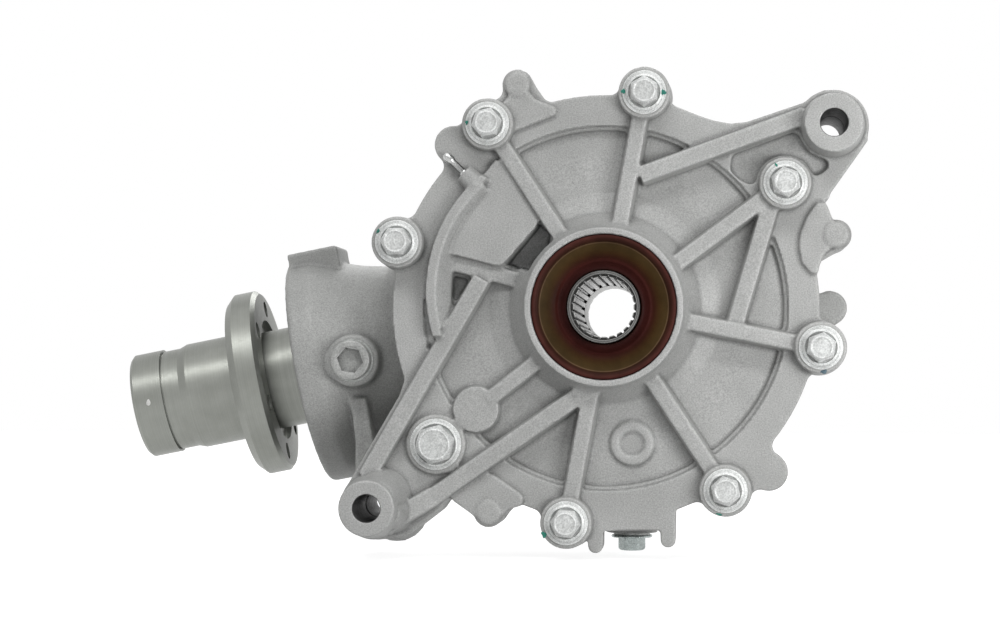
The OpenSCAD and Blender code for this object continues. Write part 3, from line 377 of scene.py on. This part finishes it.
nodeFinish = {
    "main_case": "case", "side_cover": "cover", "cover_gasket": "gasket", "cover_bolts": "zinc",
    "large_cover_bolt": "zinc", "breather_nipple": "zinc", "drain_plug": "plug", "drain_washer": "washer",
    "filler_plug": "filler", "filler_seal_ring": "washer", "drive_hub": "hub", "coupling_flange": "turned",
    "coupling_nut": "gear", "coupling_nut_washer": "gear", "ring_gear": "gear", "ring_gear_bolts": "gear",
    "pinion_shaft": "gear", "pinion_seal_lip": "black",
}
for nodeName, node in nodes.items():
    finish = nodeFinish.get(nodeName)
    if finish is None:
        finish = ("sealRed" if nodeName.endswith("seal_case") else "sealBrown" if nodeName.endswith("_lip")
                  else "brass" if nodeName.endswith("_cage") else "race")
    node.data.materials.clear()
    node.data.materials.append(materials[finish])
print("materials", len(materials))


# Mesh helpers

def finishPiece(name, mesh, mat, body, smooth=35.0):
    piece = bpy.data.objects.new(name, mesh)
    bpy.context.scene.collection.objects.link(piece)
    piece.data.materials.clear()
    piece.data.materials.append(materials[mat])
    if smooth:
        piece.data.shade_smooth()
        piece.data.set_sharp_from_angle(angle=math.radians(smooth))
    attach(piece, body)
    return piece


def fromBmesh(bm, name):
    bmesh.ops.remove_doubles(bm, verts=bm.verts, dist=1e-6)
    bmesh.ops.recalc_face_normals(bm, faces=bm.faces)
    mesh = bpy.data.meshes.new(name)
    bm.to_mesh(mesh)
    bm.free()
    return mesh


def latheInto(bm, profile, place, steps=96):
    before = set(bm.verts)
    verts = [bm.verts.new((r * mm, 0, h * mm)) for r, h in profile]
    pairs = list(zip(verts, verts[1:]))
    if profile[0][0] > 0:
        pairs.append((verts[-1], verts[0]))
    edges = [bm.edges.new(pair) for pair in pairs]
    bmesh.ops.spin(bm, geom=verts + edges, cent=(0, 0, 0), axis=(0, 0, 1), dvec=(0, 0, 0),
                   angle=math.tau, steps=steps, use_merge=True, use_duplicate=False)
    made = [v for v in bm.verts if v not in before]
    bmesh.ops.transform(bm, matrix=place, verts=made)
    return made


def lathe(name, profile, place, mat, body, steps=96, smooth=35.0):
    bm = bmesh.new()
    latheInto(bm, profile, place, steps)
    return finishPiece(name, fromBmesh(bm, name), mat, body, smooth)


def modified(piece):
    bpy.context.view_layer.update()
    depsgraph = bpy.context.evaluated_depsgraph_get()
    return bpy.data.meshes.new_from_object(piece.evaluated_get(depsgraph))


# A copy of the node is merged, skinned again with voxels, smoothed and thinned
def castSkin(name, nodeName, mat, settings, added=None, carved=None):
    bm = bmesh.new()
    bm.from_mesh(nodes[nodeName].data)
    bmesh.ops.remove_doubles(bm, verts=bm.verts, dist=1e-6)
    if added:
        added(bm)
    mesh = bpy.data.meshes.new(name)
    bm.to_mesh(mesh)
    bm.free()
    piece = bpy.data.objects.new(name, mesh)
    bpy.context.scene.collection.objects.link(piece)
    remesh = piece.modifiers.new("skin", "REMESH")
    remesh.mode = "VOXEL"
    remesh.voxel_size = settings["voxel"]
    skin = modified(piece)
    if carved:
        carved(skin)
    piece.modifiers.remove(remesh)
    piece.data = skin
    relax = piece.modifiers.new("relax", "SMOOTH")
    relax.factor = 0.5
    relax.iterations = settings["relax"]
    thin = piece.modifiers.new("thin", "DECIMATE")
    count = sum(len(p.vertices) - 2 for p in skin.polygons)
    thin.ratio = min(1.0, settings["triangles"] / count)
    skin = modified(piece)
    bpy.data.objects.remove(piece)
    skin.name = name
    skin.materials.clear()
    piece = finishPiece(name, skin, mat, "housing", 0)
    piece.data.shade_smooth()
    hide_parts(nodeName)
    print(name, "from", count, "triangles")
    return piece


# Castings

coverSettings = {"voxel": 0.8 * mm, "relax": 3, "triangles": 195000}
caseSettings = {"voxel": 1.1 * mm, "relax": 4, "triangles": 190000}

# Wide inner slope of the curved rib: the rib's centre, the sector, the profile (radius, height), and the ball
# (place, height, radius) that fills the narrow gap at the rib's lower end
slopeSettings = {
    "centre": (-13.8, 7.9), "sector": (131, 195), "steps": 40,
    "profile": [(69.0, 73), (69.0, 87.9), (67.3, 87.9), (60.6, 80.2), (60.4, 73)],
    "ball": (-83.2, -15.2, 76.8, 3.2),
}


def placeSolid(bm, made, place):
    bmesh.ops.transform(bm, matrix=place, verts=made)
    bmesh.ops.recalc_face_normals(bm, faces=list({f for v in made for f in v.link_faces}))


def ribSlope(bm, s):
    before = set(bm.verts)
    low, high = (math.radians(a) for a in s["sector"])
    verts = [bm.verts.new((r * math.cos(low) * mm, r * math.sin(low) * mm, h * mm)) for r, h in s["profile"]]
    face = bm.faces.new(verts)
    bmesh.ops.spin(bm, geom=[face] + list(face.edges) + verts, cent=(0, 0, 0), axis=(0, 0, 1), dvec=(0, 0, 0),
                   angle=high - low, steps=s["steps"], use_merge=False, use_duplicate=False)
    made = [v for v in bm.verts if v not in before]
    placeSolid(bm, made, faceFrame @ moved(*s["centre"], 0))
    x, y, h, radius = s["ball"]
    bmesh.ops.create_icosphere(bm, subdivisions=3, radius=radius * mm, matrix=moved(x, -h, y))


def pocketSide(bm, s):
    start, end = (Vector((*p, 0)) for p in s["edge"])
    along = (end - start).normalized()
    across = Vector((along.y, -along.x, 0))
    verts = [bm.verts.new((start + across * d + Vector((0, 0, h))) * mm) for d, h in s["side"]]
    face = bm.faces.new(verts)
    out = bmesh.ops.extrude_face_region(bm, geom=[face], use_keep_orig=True)["geom"]
    far = [g for g in out if isinstance(g, bmesh.types.BMVert)]
    bmesh.ops.translate(bm, verts=far, vec=(end - start) * mm)
    placeSolid(bm, verts + far, faceFrame)


def addToCover(bm):
    ribSlope(bm, slopeSettings)
    pocketSide(bm, pocketSettings)


def insideOutline(x, y, outline):
    inside = False
    for (ax, ay), (bx, by) in zip(outline, outline[1:] + outline[:1]):
        if (ay > y) != (by > y) and x < ax + (y - ay) * (bx - ax) / (by - ay):
            inside = not inside
    return inside


def carvePocket(mesh):
    s = pocketSettings
    ribX, ribY, slope = s["rib"]
    for v in mesh.vertices:
        x, y, h = v.co.x / mm, v.co.z / mm, -v.co.y / mm
        if s["floor"] < h < s["top"] and math.hypot(x, y) > s["boss"] and y > ribY + (ribX - x) * slope:
            if insideOutline(x, y, s["outline"]):
                v.co.y = -s["floor"] * mm


coverCasting = castSkin("coverCasting", "side_cover", "cover", coverSettings, addToCover, carvePocket)
caseCasting = castSkin("caseCasting", "main_case", "case", caseSettings)
print("castings")

# Fasteners

boltSettings = {
    "flange": 10.5, "edge": 1.25, "across": 12.7, "corner": 7.25, "height": 9.0, "crown": 5.2,
    "shank": 5.0, "length": 40.0, "turns": [40, 29, 11, -1, 54, 41, 21],
}
bigBoltSettings = {
    "flange": 12.4, "edge": 1.4, "across": 17.0, "corner": 9.5, "height": 10.0, "crown": 7.3,
    "shank": 6.0, "length": 38.0, "turns": [16],
}
# Forms of both bolts, as steps from the flange's radius, its edge, the hexagon's corner, the top and the crown
boltForms = {
    "under": [(-0.9, 0), (-0.6, 0.08), (0, 0.55)],
    "edge": [(0, -0.2), (-0.2, 0), (-1.35, 0.1), (-1.5, 0.2), (-1.65, 0.62), (-1.9, 0.75)],
    "ditch": [(1.15, 2.3), (0.95, 2.3), (0.75, 2.1), (0.55, 1.5)],
    "cone": (-2.1, -1.7, -1.3, -0.8, -0.3), "slope": 0.95,
    "cap": [(-0.05, -0.05), (0, -0.25), (-0.03, -0.45), (-0.2, -0.65), (-0.25, -1.2)],
    "centre": (-0.2, 1.2), "hexTop": -2.5, "hexFoot": 1.2, "seat": 1.4, "gap": 0.5, "bright": -0.4,
}
hexSteps = 96
shankChamfer = 0.8
endless = 99  # radius that leaves the whole hexagon


def hexRadius(angle, across):
    sector = math.radians(60)
    return across / 2 / math.cos(angle % sector - sector / 2)


def loopInto(bm, levels, radiusAt, steps=hexSteps):
    ring = bmesh.ops.create_circle(bm, cap_ends=False, segments=steps, radius=1.0)["verts"]
    edges = list({e for v in ring for e in v.link_edges})
    made = list(ring)
    for k, level in enumerate(levels):
        if k:
            out = bmesh.ops.extrude_edge_only(bm, edges=edges)["geom"]
            ring = [g for g in out if isinstance(g, bmesh.types.BMVert)]
            edges = [g for g in out if isinstance(g, bmesh.types.BMEdge)
                     and g.verts[0] in ring and g.verts[1] in ring]
            made += ring
        for v in ring:
            angle = math.atan2(v.co.y, v.co.x)
            r = radiusAt(angle, level) * mm
            v.co = (r * math.cos(angle), r * math.sin(angle), level[0] * mm)
    bmesh.ops.edgeloop_fill(bm, edges=edges)
    return made


def shankProfile(s):
    end, radius = -s["length"], s["shank"]
    return [(0, end), (radius - shankChamfer, end), (radius, end + shankChamfer), (radius, 0)]


def shifted(points, first, second):
    return [(first + a, second + b) for a, b in points]


def boltInto(bm, place, turn, s, forms=boltForms):
    corner, top = s["across"] / 2 + forms["gap"], s["height"]
    profile = shankProfile(s) + shifted(forms["under"], s["flange"], 0)
    profile += shifted(forms["edge"], s["flange"], s["edge"]) + shifted(forms["ditch"], corner, 0)
    made = latheInto(bm, profile + [(0, forms["seat"])], Matrix(), hexSteps)
    levels = [(forms["hexFoot"], endless), (top + forms["hexTop"], endless)]
    levels += [(top + z, s["crown"] - z * forms["slope"]) for z in forms["cone"]]
    levels += shifted(forms["cap"], top, s["crown"]) + shifted([forms["centre"]], top, 0)
    made += loopInto(bm, levels, lambda angle, level: min(hexRadius(angle, s["across"]), s["corner"], level[1]))
    # The flange and the sides of the head take the darker copy of the zinc, a painted shade, and its top the lighter
    # copy, a painted highlight
    for face in {f for v in made for f in v.link_faces}:
        face.material_index = 0 if min(v.co.z for v in face.verts) > (top + forms["bright"]) * mm else 1
    turned = place @ Matrix.Rotation(math.radians(turn), 4, "Z")
    bmesh.ops.transform(bm, matrix=turned, verts=made)


def boltSet(name, nodeName, angles, height, s):
    bm = bmesh.new()
    for angle, turn in zip(angles, s["turns"]):
        x, y = polar(layout["boltCircle"], angle)
        boltInto(bm, faceFrame @ moved(x, y, height), turn, s)
    piece = finishPiece(name, fromBmesh(bm, name), "zinc", "housing", 40)
    # Second slot: the shaded copy of the zinc, a painted shade
    piece.data.materials.append(materials["zincShadedSide"])
    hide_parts(nodeName)


boltSet("coverBolts", "cover_bolts", layout["boltAngles"], layout["boltFace"], boltSettings)
boltSet("largeCoverBolt", "large_cover_bolt", [layout["bigBoltAngle"]], layout["bigBoltFace"], bigBoltSettings)
print("bolts")

# Nipple and plugs

nippleSettings = {
    "profile": [(0.6, 86), (2.3, 86), (2.35, 86.2), (2.35, 94.4), (2.1, 94.8), (1.75, 94.9), (1.75, 101.6),
                (1.95, 101.9), (2.3, 102.8), (2.3, 104.6), (2.1, 105.6), (1.6, 106.7), (1.2, 107), (0.6, 107)],
    "steps": 48,
}
outward = Matrix.Rotation(math.radians(layout["breatherAngle"]), 4, "Z") @ moved(0, 0, layout["breatherHeight"]) \
    @ Matrix.Rotation(math.radians(90), 4, "Y")
nipple = lathe("breatherNipple", nippleSettings["profile"], faceFrame @ outward, "bright", "housing",
               nippleSettings["steps"])
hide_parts("breather_nipple")

# Rims, caps and sockets are steps from the radius, the top or the socket's floor. The third number of a step
# in the drain plug's rim is 1 where its height counts from the flange's edge
drainSettings = {
    "flange": 10.2, "edge": 1.4, "across": 11.8, "corner": 6.7, "height": 7.8, "shank": 6.0, "length": 17.0,
    "washer": 1.0, "rim": [(-0.3, 0, 0), (0, 0.4, 0), (0, -0.4, 1), (-0.5, 0, 1)],
    "hexFoot": -0.2,
    "cap": [(-1.3, endless), (-0.9, 6.5), (-0.45, 6.1), (-0.1, 5.6), (0, 5.1), (0, 2.6), (-0.3, 2.2), (-0.3, 0.8)],
}
fillerSettings = {
    "radius": 9.7, "height": 7.8, "shank": 7.0, "length": 16.0, "across": 11.4, "turn": 50, "ring": 1.2,
    "under": [(-0.2, 0), (0, 0.3)], "rim": [(0, -0.8), (-0.15, -0.35), (-0.5, -0.05), (-0.9, 0)],
    "mouth": [(0, 7.0), (-0.1, 6.8), (-0.3, 6.6), (-0.4, endless)], "round": 6.5,
    "floor": 3.2, "cone": [(0, endless), (-0.1, 4.4), (-0.3, 2.6), (-0.3, 0.8)],
}


def finishPlug(name, bm, mat, nodeName):
    piece = finishPiece(name, fromBmesh(bm, name), mat, "housing", 40)
    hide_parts(nodeName)


def drainPlug(s):
    bm = bmesh.new()
    place = faceFrame @ moved(layout["drainX"], -(layout["drainEnd"] + s["washer"]), layout["drainHeight"]) \
        @ Matrix.Rotation(math.radians(90), 4, "X")
    rim = [(s["flange"] + step, rise + s["edge"] * above) for step, rise, above in s["rim"]]
    made = latheInto(bm, shankProfile(s) + rim + [(0, s["edge"])], Matrix(), hexSteps)
    levels = [(s["edge"] + s["hexFoot"], endless)] + shifted(s["cap"], s["height"], 0)
    made += loopInto(bm, levels, lambda angle, level: min(hexRadius(angle, s["across"]), s["corner"], level[1]))
    bmesh.ops.transform(bm, matrix=place, verts=made)
    finishPlug("drainPlug", bm, "plug", "drain_plug")


def fillerPlug(s):
    bm = bmesh.new()
    x, y = polar(-layout["fillerAt"], layout["pinionTilt"])
    place = faceFrame @ moved(x, y, layout["fillerHeight"] + s["ring"])
    mouth = shifted(s["mouth"], s["height"], 0)
    made = latheInto(bm, shankProfile(s) + shifted(s["under"], s["radius"], 0)
                     + shifted(s["rim"], s["radius"], s["height"]) + [(mouth[0][1], s["height"])], Matrix(), hexSteps)
    # Round mouth, hexagon socket, then a drilled cone
    made += loopInto(bm, mouth + shifted(s["cone"], s["floor"], 0),
                     lambda angle, level: level[1] if s["round"] < level[1] < endless
                     else min(hexRadius(angle, s["across"]), level[1]))
    bmesh.ops.transform(bm, matrix=place @ Matrix.Rotation(math.radians(s["turn"]), 4, "Z"), verts=made)
    finishPlug("fillerPlug", bm, "filler", "filler_plug")


drainPlug(drainSettings)
fillerPlug(fillerSettings)
print("plugs")

# Front seal, drawn with its outer face at height 0 and its body below

sealSettings = {
    "case": [
        (34.8, -10), (34.8, -0.9), (34.5, -0.35), (34.0, -0.05), (33.5, 0), (32.9, -0.2), (32.4, -0.65),
        (31.9, -0.95), (31.4, -1.1), (31.2, -1.45), (33.4, -1.5), (33.4, -8.8), (23.3, -8.8), (23.3, -10),
    ],
    "lip": [
        (33.3, -1.62), (31.3, -1.62), (30.9, -1.75), (30.3, -1.95), (27.0, -2.7), (24.2, -3.3), (23.6, -3.6),
        (22.9, -3.75), (22.4, -3.5), (22.0, -3.5), (21.5, -3.85), (20.0, -4.3), (19.0, -4.35), (18.5, -4.0),
        (18.1, -4.05), (17.9, -4.6), (17.4, -5.6), (18.5, -7.9), (20.4, -7.9), (20.45, -5.0), (23.4, -4.5),
        (26.5, -3.7), (30.2, -3.1), (33.3, -3.0),
    ],
    "steps": 160, "smooth": 50,
}
for name, part, nodeName, slot in (("frontSealCase", "case", "front_seal_case", "seal_red"),
                                   ("frontSealLip", "lip", "front_seal_lip", "seal_brown")):
    piece = lathe(name, sealSettings[part], faceFrame @ moved(0, 0, layout["sealFace"]), "sealCone", "housing",
                  sealSettings["steps"], sealSettings["smooth"])
    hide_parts(nodeName)
print("seal")

# Plain stretch between the toothed ends of the hub's bore
sleeveSettings = {"profile": [(14.1, -58), (15.6, -58), (15.6, -16), (14.1, -15)], "steps": 96}
boreSleeve = lathe("hubBoreSleeve", sleeveSettings["profile"], faceFrame, "bore", "hub", sleeveSettings["steps"])
print("hub bore")

# Paint marks: bolt number, direction and distance from its axis, half length, half width, colour. A mark within
# "reach" lies on the flange, which rises inward by "slope" from "edge", and the others lie on the boss
paintSettings = {
    "marks": [
        (0, 118, 9.2, 1.5, 0.5, "teal"), (1, 178, 10.0, 1.0, 1.1, "teal"), (1, -2, 8.9, 1.7, 1.3, "teal"),
        (2, 177, 9.9, 0.7, 1.0, "teal"), (3, 150, 10.3, 0.6, 1.2, "teal"), (4, 208, 11.8, 1.3, 1.5, "teal"),
        (5, 255, 11.6, 0.5, 1.5, "teal"), (6, 277, 11.6, 0.9, 1.6, "blue"),
    ],
    "thickness": 0.3, "reach": 10.6, "edge": 10.1, "edgeRise": 1.4, "slope": 0.43,
    "ripple": 0.16, "waves": 3, "skew": 0.1, "skewWaves": 7,
}


def paintMark(index, s):
    number, direction, distance, length, width, mat = s["marks"][index]
    x, y = polar(layout["boltCircle"], layout["boltAngles"][number])
    dx, dy = polar(distance, direction)
    rise = s["edgeRise"] + (s["edge"] - distance) * s["slope"] if distance < s["reach"] else 0.0
    bm = bmesh.new()
    bmesh.ops.create_icosphere(bm, subdivisions=4, radius=1.0)
    for v in bm.verts:
        ripple = 1 + s["ripple"] * math.sin(s["waves"] * math.atan2(v.co.y, v.co.x) + index)
        ripple += s["skew"] * math.sin(s["skewWaves"] * v.co.x + 2 * index)
        v.co = (v.co.x * ripple * length * mm, v.co.y * ripple * width * mm, v.co.z * s["thickness"] * mm)
    turn = Matrix.Rotation(math.radians(direction), 4, "Z")
    place = faceFrame @ moved(x + dx, y + dy, layout["boltFace"] + rise) @ turn
    bmesh.ops.transform(bm, matrix=place, verts=bm.verts)
    finishPiece("paintMark" + str(index), fromBmesh(bm, "paintMark"), mat, "housing")


for index in range(len(paintSettings["marks"])):
    paintMark(index, paintSettings)

# Dot on the coupling's sleeve, narrower at its top
dotSettings = {"place": (-234.0, -26.5, -46.6), "size": (1.1, 0.25, 1.7), "taper": 0.3}


def paintDot(s):
    bm = bmesh.new()
    bmesh.ops.create_icosphere(bm, subdivisions=4, radius=1.0)
    for v in bm.verts:
        narrow = 1 - s["taper"] * v.co.z
        v.co = [c * size * mm for c, size in zip((v.co.x * narrow, v.co.y, v.co.z), s["size"])]
    bmesh.ops.transform(bm, matrix=moved(*s["place"]), verts=bm.verts)
    finishPiece("paintDot", fromBmesh(bm, "paintDot"), "white", "pinion")


paintDot(dotSettings)
print("paint marks")

# Camera, light and floor

cameraSettings = {
    "place": (0.04854, -1.33051, -0.03561),
    "right": (0.99688, 0.07896, 0.00209),
    "up": (0.0, -0.02645, 0.99965),
    "lens": 93.6, "sensor": 36.0, "far": 20.0,
}


def makeCamera(s):
    data = bpy.data.cameras.new("camera")
    data.sensor_width = s["sensor"]
    data.lens = s["lens"]
    data.clip_end = s["far"]
    camera = bpy.data.objects.new("camera", data)
    bpy.context.scene.collection.objects.link(camera)
    right = Vector(s["right"]).normalized()
    up = Vector(s["up"]).normalized()
    back = right.cross(up).normalized()
    up = back.cross(right)
    turn = Matrix((right, up, back)).transposed().to_4x4()
    camera.matrix_world = Matrix.Translation(s["place"]) @ turn
    bpy.context.scene.camera = camera


def areaLight(name, place, target, size, power):
    data = bpy.data.lights.new(name, "AREA")
    data.shape = "RECTANGLE"
    data.size = size[0]
    data.size_y = size[1]
    data.energy = power
    lamp = bpy.data.objects.new(name, data)
    bpy.context.scene.collection.objects.link(lamp)
    lamp.location = place
    lamp.rotation_euler = (Vector(target) - Vector(place)).to_track_quat("-Z", "Y").to_euler()


# 1 for what the camera sees, directly or mirrored or through something, and 0 for the light on the part
def seenRays(tree):
    path = tree.nodes.new("ShaderNodeLightPath")
    seen = largest(tree, path.outputs["Is Camera Ray"], path.outputs["Is Glossy Ray"])
    return largest(tree, seen, path.outputs["Is Transmission Ray"])


floorSettings = {"color": (0.5, 0.5, 0.5), "roughness": 0.9, "gloss": 0.1, "glow": 0.86, "size": 3.0, "below": 0.002}


def makeFloor(s):
    mat, tree, shader = newMaterial("paleFloor", s["roughness"])
    shader.inputs["Base Color"].default_value = (*s["color"], 1.0)
    shader.inputs["Specular IOR Level"].default_value = s["gloss"]
    shader.inputs["Emission Color"].default_value = (1, 1, 1, 1)
    # The glow of the seen rays lets the floor meet the white background, and keeps the shadow
    tree.links.new(rangeOf(tree, seenRays(tree), 0.0, 1.0, 0.0, s["glow"]), shader.inputs["Emission Strength"])
    bm = bmesh.new()
    bmesh.ops.create_grid(bm, x_segments=2, y_segments=2, size=s["size"])
    bmesh.ops.translate(bm, verts=bm.verts, vec=(0, 0, cadBounds[0][2] - s["below"]))
    mesh = bpy.data.meshes.new("floor")
    bm.to_mesh(mesh)
    bm.free()
    floor = bpy.data.objects.new("floor", mesh)
    bpy.context.scene.collection.objects.link(floor)
    floor.data.materials.append(mat)


# Light on the part, and white for the seen rays
worldSettings = {"light": 0.24, "white": 1.0}


def makeWorld(s):
    world = bpy.data.worlds.new("studio")
    bpy.context.scene.world = world
    world.use_nodes = True
    tree = world.node_tree
    light = tree.nodes["Background"]
    white = tree.nodes.new("ShaderNodeBackground")
    for background, strength in ((light, s["light"]), (white, s["white"])):
        background.inputs["Color"].default_value = (1, 1, 1, 1)
        background.inputs["Strength"].default_value = strength
    mix = tree.nodes.new("ShaderNodeMixShader")
    tree.links.new(seenRays(tree), mix.inputs["Fac"])
    tree.links.new(light.outputs["Background"], mix.inputs[1])
    tree.links.new(white.outputs["Background"], mix.inputs[2])
    tree.links.new(mix.outputs["Shader"], tree.nodes["World Output"].inputs["Surface"])


# Name, place, target, size and power
lampSettings = [
    ("key", (-0.25, -1.65, 2.0), (0, 0, 0), (2.4, 0.4), 29),
    ("fill", (0.42, -0.6, -0.02), (0, 0, -0.06), (0.3, 0.18), 1.9),
    ("top", (-0.1, -0.1, 1.5), (0, 0, 0), (1.3, 0.9), 2),
    ("back", (0.2, 1.8, 1.4), (0, 0, 0), (1.4, 0.9), 14),
]
makeCamera(cameraSettings)
makeFloor(floorSettings)
makeWorld(worldSettings)
for lamp in lampSettings:
    areaLight(*lamp)
bpy.context.scene.view_settings.view_transform = "Standard"
print("camera, floor and light")

print("finished")
